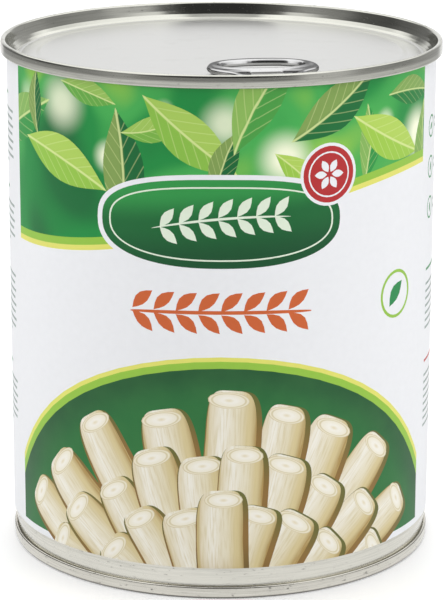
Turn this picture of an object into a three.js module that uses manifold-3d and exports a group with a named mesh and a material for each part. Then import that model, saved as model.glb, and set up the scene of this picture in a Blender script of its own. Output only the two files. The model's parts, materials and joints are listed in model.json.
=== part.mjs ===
// A ring-pull food tin filled with cut salsify: a necked steel body, a plain base end and
// an easy-open lid held on by double seams, a lift tab on its rivet, a paper label lapped
// at the back, and the peeled root pieces packed upright inside in two tiers.
// The origin is the middle of the circle that the tin stands on. +Z is up, -Y is the front.
import * as THREE from "three";
import { mergeVertices } from "three/addons/utils/BufferGeometryUtils.js";
import Module from "manifold-3d";

const wasm = await Module();
wasm.setup();

// Driving dimensions, in millimetres.
const TIN_HEIGHT = 119.4;
const TOP_SEAM_RADIUS = 50.95;
const TOP_SEAM_HEIGHT = 3.0;
const BASE_SEAM_RADIUS = 49.6;
const BASE_SEAM_HEIGHT = 2.75;
const BODY_RADIUS = 49.42;
const BODY_PLATE = 0.2;
const END_PLATE = 0.24;
const SEAM_GAP = 0.04;
const HOOK_CLEARANCE = 0.2;
const NECK_BOTTOM = 3.1;
const NECK_TOP = 6.4;
const CROWN_STEPS = 5;
const GROOVE_BEND = 0.6;
const SHOULDER_EASE = 0.35;
const COMPOUND_TOP = 1.4;
const COMPOUND_FOOT = 2.2;

// Each end, with depths measured into the tin from its seam's crown.
const LID = {
  seamRadius: TOP_SEAM_RADIUS,
  seamHeight: TOP_SEAM_HEIGHT,
  panelDepth: 3.3,
  steps: [{ radius: 42.3, drop: 0.3 }],
  grooveMiddle: 47.95,
  grooveDepth: 4.6,
};
const BASE = {
  seamRadius: BASE_SEAM_RADIUS,
  seamHeight: BASE_SEAM_HEIGHT,
  panelDepth: 3.5,
  steps: [
    { radius: 29.5, drop: -0.4 },
    { radius: 36.0, drop: -0.4 },
    { radius: 42.0, drop: 0.4 },
  ],
  grooveMiddle: 46.7,
  grooveDepth: 4.4,
};
const STEP_RUN = 0.5;
const SCORE_RADIUS = 46.1;
const SCORE_DEPTH = 0.12;
const SCORE_HALF_WIDTH = 0.2;

// The label, a strip round the body whose end laps over its start at the back.
const LABEL_BOTTOM = 7.3;
const LABEL_TOP = 116.35;
const LABEL_PAPER = 0.12;
const LABEL_CLEARANCE = 0.04;

// The tab stands on the rivet. In its own frame the nose is at -Y and the ring at +Y.
const TAB_BEARING = THREE.MathUtils.degToRad(8);
const RIVET_X = 10.2;
const RIVET_Y = -39.1;
const PAD_RADIUS = 3.3;
const PAD_HEIGHT = 0.3;
const SHANK_RADIUS = 1.5;
const HEAD_RADIUS = 2.6;
const HEAD_HEIGHT = 0.45;
const HEAD_ROUNDING = 0.15;
const TONGUE_PLATE = 0.3;
const TONGUE_HALF_WIDTH = 3.2;
const TONGUE_FRONT = -2.75;
const TONGUE_BACK = 3.15;
const TAB_GAP = 0.8;
const TAB_THICKNESS = 1.3;
const TAB_ROUNDING = 0.3;
const TAB_NOSE = -5.3;
const TAB_HEEL = 17.3;
const TAB_HALF_WIDTH = 12.4;
const NOSE_HALF_WIDTH = 7.2;
const HOLE_HALF_WIDTH = 9.4;
const HOLE_FRONT = 5.2;
const HOLE_BACK = 14.9;
const WINDOW_HALF_WIDTH = 3.6;
const WINDOW_FRONT = -3.0;
const WINDOW_BACK = 3.45;
const POCKET_HALF_WIDTH = 5.4;
const POCKET_FLOOR = 0.5;

// The root pieces stand in rings of one, six and twelve, two tiers high.
const PIECE_SPACING = 18.8;
const PIECE_RADIUS = 8.75;
const PIECE_RADIUS_VARIATION = 0.3;
const PIECE_LENGTH = 51.5;
const PIECE_LENGTH_VARIATION = 1.5;
const PIECE_BOW = 0.22;
const TIER_FLOORS = [5.6, 60.2];

// Lathes that nest in each other turn in the same steps, so their facets stay parallel.
const TURN_STEPS = 40;
const SMALL_TURN_STEPS = 20;
const PIECE_TURN_STEPS = 8;
const PIECE_RINGS = 5;
const MERGE = 1e-4;

const look = {
  tinplate: { color: 0xc6c7c6, metalness: 0.95, roughness: 0.3 },
  lidSteel: { color: 0xd2d2d1, metalness: 0.95, roughness: 0.2 },
  compound: { color: 0x9d9a90, metalness: 0, roughness: 0.8 },
  paper: { color: 0xe9ebee, metalness: 0, roughness: 0.45 },
  root: { color: 0xe6dfca, metalness: 0, roughness: 0.5 },
};

const tin = new THREE.Group();

function addPiece(parent, name, geometry, finish) {
  const mesh = new THREE.Mesh(geometry, new THREE.MeshStandardMaterial(finish));
  mesh.name = name;
  parent.add(mesh);
}

// Points along an arc in the profile plane, both ends included. Angles are in degrees.
function arc(centreRadius, centreDepth, bend, from, to, steps) {
  return Array.from({ length: steps + 1 }, (_, i) => {
    const angle = THREE.MathUtils.degToRad(from + ((to - from) * i) / steps);
    const radius = centreRadius + bend * Math.cos(angle);
    return new THREE.Vector2(radius, centreDepth + bend * Math.sin(angle));
  });
}

// The closed outline of a bent sheet: the line through its middle, moved half the
// thickness to either side, with mitred corners.
function sheetOutline(middle, thickness) {
  const last = middle.length - 1;
  const direction = (i) => middle[i + 1].clone().sub(middle[i]).normalize();
  const side = (sign) =>
    middle.map((point, i) => {
      const into = direction(Math.max(i - 1, 0));
      const mitre = into.clone().add(direction(Math.min(i, last - 1))).normalize();
      const reach = (sign * thickness) / 2 / mitre.dot(into);
      return new THREE.Vector2(point.x - mitre.y * reach, point.y + mitre.x * reach);
    });
  return [...side(1), ...side(-1).reverse()];
}

// Turns an outline of (radius, height) points about +Z. An outline that stays off the
// axis is closed on itself.
function turned(outline, steps = TURN_STEPS) {
  const points = outline.map((point) => point.clone());
  if (points.every((point) => point.x > MERGE)) points.push(points[0].clone());
  if (THREE.ShapeUtils.area(points) < 0) points.reverse();
  return new THREE.LatheGeometry(points, steps).rotateX(Math.PI / 2);
}

function solidOf(geometry) {
  const bare = geometry.clone();
  bare.deleteAttribute("normal");
  bare.deleteAttribute("uv");
  const merged = mergeVertices(bare, MERGE);
  return new wasm.Manifold(
    new wasm.Mesh({
      numProp: 3,
      vertProperties: merged.attributes.position.array,
      triVerts: new Uint32Array(merged.index.array),
    }),
  );
}

function geometryOf(solid) {
  const mesh = solid.getMesh();
  const geometry = new THREE.BufferGeometry();
  const positions = new THREE.BufferAttribute(new Float32Array(mesh.vertProperties), 3);
  geometry.setAttribute("position", positions);
  geometry.setIndex(new THREE.BufferAttribute(new Uint32Array(mesh.triVerts), 1));
  geometry.computeVertexNormals();
  return geometry;
}

// A double seam holds five layers. From outside in they are the end's outer wall, the
// body's hook, the end's cover hook, the body wall and the end's chuck wall. The crown's
// bend has an odd number of steps, so its middle one is a level ring to stand on.
const LAYER_PITCH = (END_PLATE + BODY_PLATE) / 2 + SEAM_GAP;

function seamOf(end) {
  const outerWall = end.seamRadius - END_PLATE / 2;
  const crownBend = 2 * LAYER_PITCH;
  return {
    outerWall,
    bodyHook: outerWall - LAYER_PITCH,
    coverHook: outerWall - 2 * LAYER_PITCH,
    bodyWall: outerWall - 3 * LAYER_PITCH,
    chuckWall: outerWall - 4 * LAYER_PITCH,
    crownBend,
    crownDepth: crownBend * Math.cos(Math.PI / 2 / CROWN_STEPS) + END_PLATE / 2,
    hookDepth: end.seamHeight - LAYER_PITCH - END_PLATE / 2,
  };
}

const grooveCentreDepth = (end) => end.grooveDepth + END_PLATE / 2 - GROOVE_BEND;

// How far the chuck wall leans in, in radius for each millimetre of depth.
function chuckLean(end) {
  const seam = seamOf(end);
  const foot = end.grooveMiddle + GROOVE_BEND;
  return (seam.chuckWall - foot) / (grooveCentreDepth(end) - seam.crownDepth);
}

// The sheet of an end from its centre to the tip of its cover hook.
function endMiddle(end) {
  const seam = seamOf(end);
  const line = [new THREE.Vector2(0, end.panelDepth + END_PLATE / 2)];
  let depth = end.panelDepth + END_PLATE / 2;
  for (const step of end.steps) {
    line.push(new THREE.Vector2(step.radius - STEP_RUN, depth));
    depth += step.drop;
    line.push(new THREE.Vector2(step.radius + STEP_RUN, depth));
  }
  const grooveInner = end.grooveMiddle - GROOVE_BEND;
  line.push(new THREE.Vector2(grooveInner - SHOULDER_EASE, depth));
  line.push(...arc(end.grooveMiddle, grooveCentreDepth(end), GROOVE_BEND, 180, 0, 4));
  const { coverHook, crownDepth, crownBend } = seam;
  line.push(...arc(coverHook, crownDepth, crownBend, 180, 360, CROWN_STEPS));
  line.push(...arc(seam.bodyHook, seam.hookDepth, LAYER_PITCH, 0, 180, 4));
  line.push(new THREE.Vector2(seam.coverHook, seam.crownDepth + HOOK_CLEARANCE));
  return line;
}

// The hook that the body wall makes inside a seam, from the wall to the hook's tip.
function bodyHook(end) {
  const seam = seamOf(end);
  return [
    ...arc(seam.coverHook, seam.crownDepth, LAYER_PITCH, 180, 360, 4),
    new THREE.Vector2(seam.bodyHook, seam.hookDepth - HOOK_CLEARANCE),
  ];
}

const fromTop = (point) => new THREE.Vector2(point.x, TIN_HEIGHT - point.y);

// The body wall flares out beside the lid's chuck wall, and necks in above the base.
function canBody() {
  const wall = BODY_RADIUS - BODY_PLATE / 2;
  const topSeam = seamOf(LID);
  const flareDepth = topSeam.crownDepth + (topSeam.bodyWall - wall) / chuckLean(LID);
  const middle = [
    ...bodyHook(BASE).reverse(),
    new THREE.Vector2(seamOf(BASE).bodyWall, NECK_BOTTOM),
    new THREE.Vector2(wall, NECK_TOP),
    fromTop(new THREE.Vector2(wall, flareDepth)),
    ...bodyHook(LID).map(fromTop),
  ];
  return turned(sheetOutline(middle, BODY_PLATE));
}

// The bead of sealing compound between two layers of a seam. The inner and outer
// surfaces that it fills are given as radii at a depth.
function compoundBead(inner, outer) {
  return [
    new THREE.Vector2(inner(COMPOUND_TOP) + SEAM_GAP, COMPOUND_TOP),
    new THREE.Vector2(outer(COMPOUND_TOP) - SEAM_GAP, COMPOUND_TOP),
    new THREE.Vector2(outer(COMPOUND_FOOT) - SEAM_GAP, COMPOUND_FOOT),
    new THREE.Vector2(inner(COMPOUND_FOOT) + SEAM_GAP, COMPOUND_FOOT),
  ];
}

function lidCompound() {
  const seam = seamOf(LID);
  const lean = chuckLean(LID);
  const halfPlate = (BODY_PLATE / 2) * Math.hypot(1, lean);
  const bodyOutside = (depth) => seam.bodyWall - (depth - seam.crownDepth) * lean + halfPlate;
  const coverInside = () => seam.coverHook - END_PLATE / 2;
  return turned(compoundBead(bodyOutside, coverInside).map(fromTop));
}

function baseCompound() {
  const seam = seamOf(BASE);
  const lean = chuckLean(BASE);
  const halfPlate = (END_PLATE / 2) * Math.hypot(1, lean);
  const chuckOutside = (depth) => seam.chuckWall - (depth - seam.crownDepth) * lean + halfPlate;
  const bodyInside = () => seam.bodyWall - BODY_PLATE / 2;
  return turned(compoundBead(chuckOutside, bodyInside));
}

const PANEL_TOP = TIN_HEIGHT - LID.panelDepth;
const TONGUE_BOTTOM = PAD_HEIGHT + SEAM_GAP;
const HEAD_BOTTOM = TONGUE_BOTTOM + TONGUE_PLATE + SEAM_GAP;

// The rivet is drawn up from the lid's own sheet: a low pad, the shank and the head that
// is spread over the tab's tongue.
function rivet() {
  const top = HEAD_BOTTOM + HEAD_HEIGHT;
  const outline = [
    new THREE.Vector2(0, -END_PLATE / 2),
    new THREE.Vector2(PAD_RADIUS, -END_PLATE / 2),
    new THREE.Vector2(PAD_RADIUS - PAD_HEIGHT / 2, PAD_HEIGHT),
    new THREE.Vector2(SHANK_RADIUS, PAD_HEIGHT),
    new THREE.Vector2(SHANK_RADIUS, HEAD_BOTTOM),
    new THREE.Vector2(HEAD_RADIUS, HEAD_BOTTOM),
    new THREE.Vector2(HEAD_RADIUS, top - HEAD_ROUNDING),
    new THREE.Vector2(HEAD_RADIUS - HEAD_ROUNDING, top),
    new THREE.Vector2(0, top),
  ];
  return turned(outline, SMALL_TURN_STEPS).translate(RIVET_X, RIVET_Y, PANEL_TOP);
}

// The score is a shallow V cut in the lid's top face, just inside its groove.
function scoreCutter() {
  const face = LID.panelDepth + LID.steps[0].drop;
  const section = [
    new THREE.Vector2(SCORE_RADIUS, face + SCORE_DEPTH),
    new THREE.Vector2(SCORE_RADIUS + 2 * SCORE_HALF_WIDTH, face - SCORE_DEPTH),
    new THREE.Vector2(SCORE_RADIUS - 2 * SCORE_HALF_WIDTH, face - SCORE_DEPTH),
  ];
  return turned(section.map(fromTop));
}

function easyOpenLid() {
  const sheet = solidOf(turned(sheetOutline(endMiddle(LID), END_PLATE).map(fromTop)));
  return geometryOf(sheet.add(solidOf(rivet())).subtract(solidOf(scoreCutter())));
}

// The label's strip, drawn from above. It climbs by one paper over the last step, so
// that its end lies on its start.
function paperLabel() {
  const inside = BODY_RADIUS + LABEL_CLEARANCE;
  const climb = LABEL_PAPER + LABEL_CLEARANCE;
  const strip = (lift) =>
    Array.from({ length: TURN_STEPS + 2 }, (_, i) => {
      const angle = Math.PI / 2 + (2 * Math.PI * i) / TURN_STEPS;
      const radius = inside + lift + (i < TURN_STEPS ? 0 : climb);
      return new THREE.Vector2(radius * Math.cos(angle), radius * Math.sin(angle));
    });
  const shape = new THREE.Shape([...strip(LABEL_PAPER), ...strip(0).reverse()]);
  const height = LABEL_TOP - LABEL_BOTTOM;
  const paper = new THREE.ExtrudeGeometry(shape, { depth: height, bevelEnabled: false });
  return paper.translate(0, 0, LABEL_BOTTOM);
}

// Traces a closed outline that is the same on both sides of the tab's own Y axis, from
// curves given for its right half: each is [control, control, end].
function mirroredOutline(path, start, curves) {
  path.moveTo(...start);
  for (const [a, b, end] of curves) path.bezierCurveTo(...a, ...b, ...end);
  const flip = ([x, y]) => [-x, y];
  [...curves].reverse().forEach(([a, b], i) => {
    const before = curves.length - 2 - i;
    const end = before < 0 ? start : curves[before][2];
    path.bezierCurveTo(...flip(b), ...flip(a), ...flip(end));
  });
  return path;
}

function tabOutline() {
  const neck = [NOSE_HALF_WIDTH, -1.6];
  const widest = [TAB_HALF_WIDTH, 8];
  return mirroredOutline(new THREE.Shape(), [0, TAB_NOSE], [
    [[0.62 * NOSE_HALF_WIDTH, TAB_NOSE], [0.9 * NOSE_HALF_WIDTH, -4.2], neck],
    [[8.4, 2.2], [TAB_HALF_WIDTH, 2.2], widest],
    [[TAB_HALF_WIDTH, 13.6], [8.2, TAB_HEEL], [0, TAB_HEEL]],
  ]);
}

function fingerHole() {
  const middle = (HOLE_FRONT + HOLE_BACK) / 2;
  return mirroredOutline(new THREE.Path(), [0, HOLE_FRONT], [
    [[6.6, HOLE_FRONT], [HOLE_HALF_WIDTH, 7.2], [HOLE_HALF_WIDTH, middle]],
    [[HOLE_HALF_WIDTH, 13], [6.6, HOLE_BACK], [0, HOLE_BACK]],
  ]);
}

function block(halfWidth, front, back, bottom, top) {
  const box = new THREE.BoxGeometry(2 * halfWidth, back - front, top - bottom);
  return solidOf(box.translate(0, (front + back) / 2, (bottom + top) / 2));
}

// The tab's curled rim stands round its finger hole. Its middle is a thinner web with a
// window for the rivet's tongue.
function pullTab() {
  const shape = tabOutline();
  shape.holes.push(fingerHole());
  const ring = new THREE.ExtrudeGeometry(shape, {
    depth: TAB_THICKNESS - 2 * TAB_ROUNDING,
    bevelThickness: TAB_ROUNDING,
    bevelSize: TAB_ROUNDING,
    bevelOffset: -TAB_ROUNDING,
    bevelSegments: 1,
    curveSegments: 6,
  }).translate(0, 0, TAB_ROUNDING);
  const over = 2 * TAB_THICKNESS;
  const pocket = block(POCKET_HALF_WIDTH, WINDOW_FRONT, WINDOW_BACK, POCKET_FLOOR, over);
  const window = block(WINDOW_HALF_WIDTH, WINDOW_FRONT, WINDOW_BACK, -over, over);
  return geometryOf(solidOf(ring).subtract(pocket).subtract(window));
}

// The tongue is the flap of the tab's sheet that the rivet holds down. The tab bends up
// along the tongue's front edge.
function rivetTongue() {
  const shape = new THREE.Shape([
    new THREE.Vector2(-TONGUE_HALF_WIDTH, TONGUE_FRONT),
    new THREE.Vector2(TONGUE_HALF_WIDTH, TONGUE_FRONT),
    new THREE.Vector2(TONGUE_HALF_WIDTH, TONGUE_BACK - 1),
    new THREE.Vector2(TONGUE_HALF_WIDTH - 1, TONGUE_BACK),
    new THREE.Vector2(1 - TONGUE_HALF_WIDTH, TONGUE_BACK),
    new THREE.Vector2(-TONGUE_HALF_WIDTH, TONGUE_BACK - 1),
  ]);
  const hole = new THREE.Path();
  hole.absarc(0, 0, SHANK_RADIUS + SEAM_GAP + 0.06, 0, 2 * Math.PI, true);
  shape.holes.push(hole);
  const flap = { depth: TONGUE_PLATE, bevelEnabled: false, curveSegments: 10 };
  return new THREE.ExtrudeGeometry(shape, flap).translate(0, 0, TONGUE_BOTTOM);
}

// One peeled root piece: a slightly barrelled stick with eased ends and a faint bow.
function rootPiece(index) {
  const radius = PIECE_RADIUS + PIECE_RADIUS_VARIATION * Math.sin(2.4 * index);
  const length = PIECE_LENGTH + PIECE_LENGTH_VARIATION * Math.sin(1.7 * index + 1);
  const outline = [new THREE.Vector2(0, 0)];
  for (let ring = 0; ring < PIECE_RINGS; ring++) {
    const along = ring / (PIECE_RINGS - 1);
    const eased = 1 - 0.22 * Math.pow(Math.abs(2 * along - 1), 6);
    outline.push(new THREE.Vector2(radius * eased, length * along));
  }
  outline.push(new THREE.Vector2(0, length));
  const stick = turned(outline, PIECE_TURN_STEPS);
  const positions = stick.attributes.position;
  for (let i = 0; i < positions.count; i++) {
    const bow = PIECE_BOW * Math.sin((Math.PI * positions.getZ(i)) / length);
    positions.setX(i, positions.getX(i) + bow);
  }
  return stick.rotateZ(1.3 * index);
}

// Centres of the pieces in one tier: one, then rings of six and twelve on a triangular
// grid.
function tierPlaces() {
  const places = [];
  for (let row = -2; row <= 2; row++) {
    for (let column = -2; column <= 2; column++) {
      if (Math.abs(row + column) > 2) continue;
      const x = PIECE_SPACING * (column + row / 2);
      places.push(new THREE.Vector2(x, (PIECE_SPACING * row * Math.sqrt(3)) / 2));
    }
  }
  return places;
}

addPiece(tin, "can_body", canBody(), look.tinplate);
addPiece(tin, "base_end", turned(sheetOutline(endMiddle(BASE), END_PLATE)), look.tinplate);
addPiece(tin, "easy_open_lid", easyOpenLid(), look.lidSteel);
addPiece(tin, "lid_seam_compound", lidCompound(), look.compound);
addPiece(tin, "base_seam_compound", baseCompound(), look.compound);
addPiece(tin, "paper_label", paperLabel(), look.paper);

const tabFrame = new THREE.Group();
tabFrame.position.set(RIVET_X, RIVET_Y, PANEL_TOP);
tabFrame.rotation.z = TAB_BEARING;
tin.add(tabFrame);
addPiece(tabFrame, "rivet_tongue", rivetTongue(), look.lidSteel);

const ringFrame = new THREE.Group();
ringFrame.position.z = TAB_GAP;
tabFrame.add(ringFrame);
addPiece(ringFrame, "pull_tab", pullTab(), look.lidSteel);

let pieceNumber = 0;
for (const floor of TIER_FLOORS) {
  for (const place of tierPlaces()) {
    pieceNumber += 1;
    const piece = rootPiece(pieceNumber).translate(place.x, place.y, floor);
    const name = `salsify_piece_${String(pieceNumber).padStart(2, "0")}`;
    addPiece(tin, name, piece, look.root);
  }
}

export default tin;
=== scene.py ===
"""A ring-pull food tin of peeled salsify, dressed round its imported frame.

Both ends, the body and the tab are rebuilt as finely bent sheet, and the paper label is one
sheet whose mesh is cut along the outlines of its print, so each ink has its own material.
Everything is in metres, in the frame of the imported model: +Z is up and -Y is the front.
"""

import json
import math
from collections import namedtuple
from types import SimpleNamespace

import bpy
import numpy as np
from mathutils import Matrix, Vector
from mathutils.geometry import delaunay_2d_cdt


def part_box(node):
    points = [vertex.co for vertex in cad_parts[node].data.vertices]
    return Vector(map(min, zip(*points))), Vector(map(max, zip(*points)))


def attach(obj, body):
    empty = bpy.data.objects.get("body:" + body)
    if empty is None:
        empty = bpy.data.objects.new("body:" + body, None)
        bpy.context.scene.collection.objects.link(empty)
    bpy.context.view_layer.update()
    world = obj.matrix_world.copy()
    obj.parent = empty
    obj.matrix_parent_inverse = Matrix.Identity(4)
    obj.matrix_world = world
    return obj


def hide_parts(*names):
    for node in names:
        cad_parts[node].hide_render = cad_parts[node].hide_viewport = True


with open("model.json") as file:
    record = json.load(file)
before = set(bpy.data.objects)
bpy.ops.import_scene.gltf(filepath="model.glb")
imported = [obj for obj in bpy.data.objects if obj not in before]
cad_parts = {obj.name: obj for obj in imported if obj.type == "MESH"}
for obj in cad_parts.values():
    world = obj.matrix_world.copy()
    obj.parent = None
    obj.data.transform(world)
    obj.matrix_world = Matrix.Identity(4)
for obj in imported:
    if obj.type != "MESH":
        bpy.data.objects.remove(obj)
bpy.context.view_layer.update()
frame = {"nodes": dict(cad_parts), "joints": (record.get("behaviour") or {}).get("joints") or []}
MM = 0.001

# Driving sizes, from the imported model.
LID_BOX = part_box("easy_open_lid")
BASE_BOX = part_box("base_end")
LABEL_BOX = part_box("paper_label")
TAB_JOINT = frame["joints"][0]
TIN_HEIGHT = LID_BOX[1].z
TOP_SEAM_RADIUS = LID_BOX[1].x
BASE_SEAM_RADIUS = BASE_BOX[1].x
LABEL_RADIUS = -LABEL_BOX[0].x
LABEL_BOTTOM = LABEL_BOX[0].z
LABEL_TOP = LABEL_BOX[1].z

# Sheet thicknesses and the seams.
END_PLATE = 0.24 * MM
BODY_PLATE = 0.2 * MM
PAPER = 0.12 * MM
PAPER_CLEARANCE = 0.04 * MM
BODY_RADIUS = LABEL_RADIUS - PAPER - PAPER_CLEARANCE
SEAM_GAP = 0.04 * MM
LAYER_PITCH = (END_PLATE + BODY_PLATE) / 2 + SEAM_GAP
HOOK_CLEARANCE = 0.2 * MM
NECK_BOTTOM = 3.1 * MM
NECK_TOP = 6.4 * MM
PANEL_BEND = 0.24 * MM
GROOVE_BEND = 0.3 * MM
SEAM_BULGE = 0.035 * MM
SEAM_WEAR = 0.05

# Each end, with depths measured into the tin from its seam's crown. The foot of the wall
# flares in: flare holds the depth where it starts, the radius where it ends and its bend.
LID = SimpleNamespace(
    seam_radius=TOP_SEAM_RADIUS,
    seam_height=3.0 * MM,
    panel_depth=3.3 * MM,
    steps=[(42.3 * MM, 0.3 * MM)],
    groove_radius=46.95 * MM,
    groove_depth=4.2 * MM,
    wall_foot=(48.55 * MM, 4.12 * MM),
    flare=(2.85 * MM, 47.75 * MM, 5.0 * MM),
)
BASE = SimpleNamespace(
    seam_radius=BASE_SEAM_RADIUS,
    seam_height=2.75 * MM,
    panel_depth=3.5 * MM,
    steps=[(29.5 * MM, -0.4 * MM), (36.0 * MM, -0.4 * MM), (42.0 * MM, 0.4 * MM)],
    groove_radius=46.1 * MM,
    groove_depth=4.4 * MM,
    wall_foot=(47.3 * MM, 3.92 * MM),
    flare=(3.0 * MM, 47.3 * MM, 1.2 * MM),
)
STEP_RUN = 0.5 * MM
STEP_BEND = 0.45 * MM
SCORE_RADIUS = 46.1 * MM
SCORE_DEPTH = 0.12 * MM
SCORE_HALF_WIDTH = 0.2 * MM
PANEL_TOP = TIN_HEIGHT - LID.panel_depth

# The tab stands on the rivet. In its own plan the nose is at -Y and the ring at +Y.
TAB_BEARING = math.atan2(TAB_JOINT["axis"][1], TAB_JOINT["axis"][0])
HINGE_FRONT = 2.9 * MM
RIVET_X = TAB_JOINT["pos_m"][0] - HINGE_FRONT * math.sin(TAB_BEARING)
RIVET_Y = TAB_JOINT["pos_m"][1] + HINGE_FRONT * math.cos(TAB_BEARING)
TAB_GAP = 0.8 * MM
TAB_THICKNESS = 1.3 * MM

TURN_STEPS = 240
PLATE_GRID = 0.4 * MM
LOOP_SPACING = 0.3 * MM
ON_EDGE = 1e-7
BEND_STEPS = 10
CURVE_STEPS = 14
STICK_SIDES = 28
STICK_ROWS = 20
STEADY_REACH = 0.07 * MM
NEARLY_STRAIGHT = math.radians(89.5)
ON_AXIS = 1e-7


def smooth_step(low, high, value):
    """0 below low, 1 above high and an even S between them, for numbers and arrays."""
    share = np.clip((value - low) / (high - low), 0, 1)
    return share * share * (3 - 2 * share)


# -------- camera and light

CAMERA_PLACE = Vector((0, -0.6135, 0.2231))
CAMERA_PITCH = 90 - 15.224
CAMERA_YAW = -0.024
CAMERA_ROLL = 0.144
CAMERA_LENS = 161.0
FLOOR_RADIUS = 6.0
FLOOR_SIDES = 96


def turn_about(axis, degrees):
    return Matrix.Rotation(math.radians(degrees), 4, axis)


def new_object(name, data, place=Matrix()):
    result = bpy.data.objects.new(name, data)
    result.matrix_world = place
    bpy.context.scene.collection.objects.link(result)
    return result


def add_camera():
    data = bpy.data.cameras.new("camera")
    data.lens = CAMERA_LENS
    data.clip_start = 0.01
    turn = turn_about("Z", CAMERA_YAW) @ turn_about("X", CAMERA_PITCH)
    turn = turn @ turn_about("Z", CAMERA_ROLL)
    place = Matrix.Translation(CAMERA_PLACE) @ turn
    bpy.context.scene.camera = new_object("camera", data, place)


def add_fill(name, bearing, elevation, distance, size, power):
    """A soft light that shows in no reflection. Bearing 0 is the front, 90 the right."""
    data = bpy.data.lights.new(name, "AREA")
    data.size = size
    data.energy = power
    turn = turn_about("Z", bearing) @ turn_about("X", 90 - elevation)
    middle = Matrix.Translation((0, 0, TIN_HEIGHT / 2))
    light = new_object(name, data, middle @ turn @ Matrix.Translation((0, 0, distance)))
    light.visible_glossy = False


def room_light(tree):
    """The room all round: a white sweep behind the tin and overhead, and a darker side
    in front with a soft glow to the left and right of the camera."""
    axes = axes_of(source(tree, "TexCoord", "Generated"))
    bearing = maths("ARCTAN2", axes["X"], times(axes["Y"], -1.0))
    round_room = ramp(bearing, ROOM_BY_BEARING, -math.pi, math.pi)
    shares = [(place, reach / MOST_REACH) for place, reach in LIGHT_REACH]
    reach = times(ramp(bearing, shares, -math.pi, math.pi), MOST_REACH)
    below = maths("MINIMUM", axes["Z"], 0.0)
    height = times_plus(maths("MAXIMUM", axes["Z"], 0.0), reach, below)
    return maths("MAXIMUM", round_room, ramp(height, ROOM_BY_HEIGHT, -1, 1))


# Brightness against bearing, from behind on the left, through the front at 0.5, to
# behind on the right, and against the sine of the elevation, from -1 to 1. The floor is
# left out of reflections, so the part below 0 is what the steel shows of it. The light
# overhead comes down further at the sides and less far over the camera: LIGHT_REACH
# multiplies the height above 0, against bearing.
ROOM_BY_BEARING = [
    (0.0, 1.0), (0.05, 0.95), (0.085, 0.2), (0.16, 0.15), (0.2, 0.09), (0.25, 0.1),
    (0.3, 0.28), (0.36, 0.39), (0.41, 0.1), (0.45, 0.04), (0.56, 0.04), (0.59, 0.12),
    (0.63, 0.62), (0.67, 0.62), (0.72, 0.36), (0.8, 0.3), (0.84, 0.38), (0.915, 0.4),
    (0.95, 0.95), (1.0, 1.0),
]
ROOM_BY_HEIGHT = [
    (0.0, 0.1), (0.03, 0.1), (0.08, 0.95), (0.355, 0.95), (0.385, 0.8), (0.425, 0.3),
    (0.47, 0.04), (0.5, 0.0), (0.765, 0.0), (0.815, 1.0), (0.88, 1.35), (0.95, 1.45),
]
LIGHT_REACH = [
    (0.0, 1.0), (0.06, 1.0), (0.09, 1.65), (0.14, 1.65), (0.165, 1.2), (0.2, 1.08),
    (0.28, 1.0), (0.37, 1.05), (0.42, 0.67), (0.57, 0.67), (0.62, 1.05), (0.72, 1.0),
    (0.8, 1.08), (0.835, 1.2), (0.86, 1.65), (0.91, 1.65), (0.94, 1.0), (1.0, 1.0),
]
MOST_REACH = 2.0


def add_studio():
    scene = bpy.context.scene
    scene.view_settings.view_transform = "Standard"
    world = bpy.data.worlds.new("studio")
    scene.world = world
    world.use_nodes = True
    plug(world.node_tree.nodes["Background"], Color=room_light(world.node_tree))

    add_fill("left_fill", -95, 15, 1.5, 0.9, 4.8)
    add_fill("right_fill", 80, 15, 1.5, 0.9, 4.0)
    add_fill("front_fill", -5, 30, 2.2, 1.2, 8.0)

    rim = ring_of(FLOOR_RADIUS, 0.0, FLOOR_SIDES)
    floor = mesh_object("floor", rim, [[*range(FLOOR_SIDES)]])
    floor.data.materials.append(floor_finish())
    floor.visible_glossy = False


# -------- node helpers


def source(tree, kind, output, **settings):
    """An output of a node that has no inputs."""
    node = tree.nodes.new("ShaderNode" + kind)
    for name, value in settings.items():
        setattr(node, name, value)
    return node.outputs[output]


def add(kind, inputs, output, **settings):
    """An output of a node that takes its inputs as sockets to link or as plain values,
    in the tree of those sockets."""
    links = {k: v for k, v in inputs.items() if isinstance(v, bpy.types.NodeSocket)}
    tree = next(iter(links.values())).id_data
    result = source(tree, kind, output, **settings)
    for key, value in inputs.items():
        if key in links:
            tree.links.new(value, result.node.inputs[key])
        else:
            result.node.inputs[key].default_value = value
    return result


def linear(colour):
    """A colour of 0-255 screen values, as the linear RGBA that a shader reads."""
    shares = [channel / 255 for channel in colour]
    flat = [s / 12.92 if s <= 0.04045 else ((s + 0.055) / 1.055) ** 2.4 for s in shares]
    return (*flat, 1.0)


def darker(colour, share):
    return tuple(channel * share for channel in colour)


def ramp(value, stops, low=0.0, high=1.0):
    """A soft run along a value through stops, each a place and a grey or a screen colour."""
    share = add("MapRange", {"Value": value, "From Min": low, "From Max": high}, "Result")
    result = add("ValToRGB", {"Fac": share}, "Color")
    result.node.color_ramp.interpolation = "EASE"
    elements = result.node.color_ramp.elements
    while len(elements) < len(stops):
        elements.new(0.5)
    for element, (place, shade) in zip(elements, stops):
        element.position = place
        element.color = linear(shade) if isinstance(shade, tuple) else (shade, shade, shade, 1)
    return result


def mix(share, first, second):
    """Runs from the first to the second of two colours, each a socket or screen values."""
    pair = [linear(c) if isinstance(c, tuple) else c for c in (first, second)]
    return add("Mix", {0: share, 6: pair[0], 7: pair[1]}, 2, data_type="RGBA")


def maths(operation, first, second=0.0, third=0.0):
    return add("Math", {0: first, 1: second, 2: third}, 0, operation=operation)


def times(first, second):
    return maths("MULTIPLY", first, second)


def times_plus(first, second, third):
    return maths("MULTIPLY_ADD", first, second, third)


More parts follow.
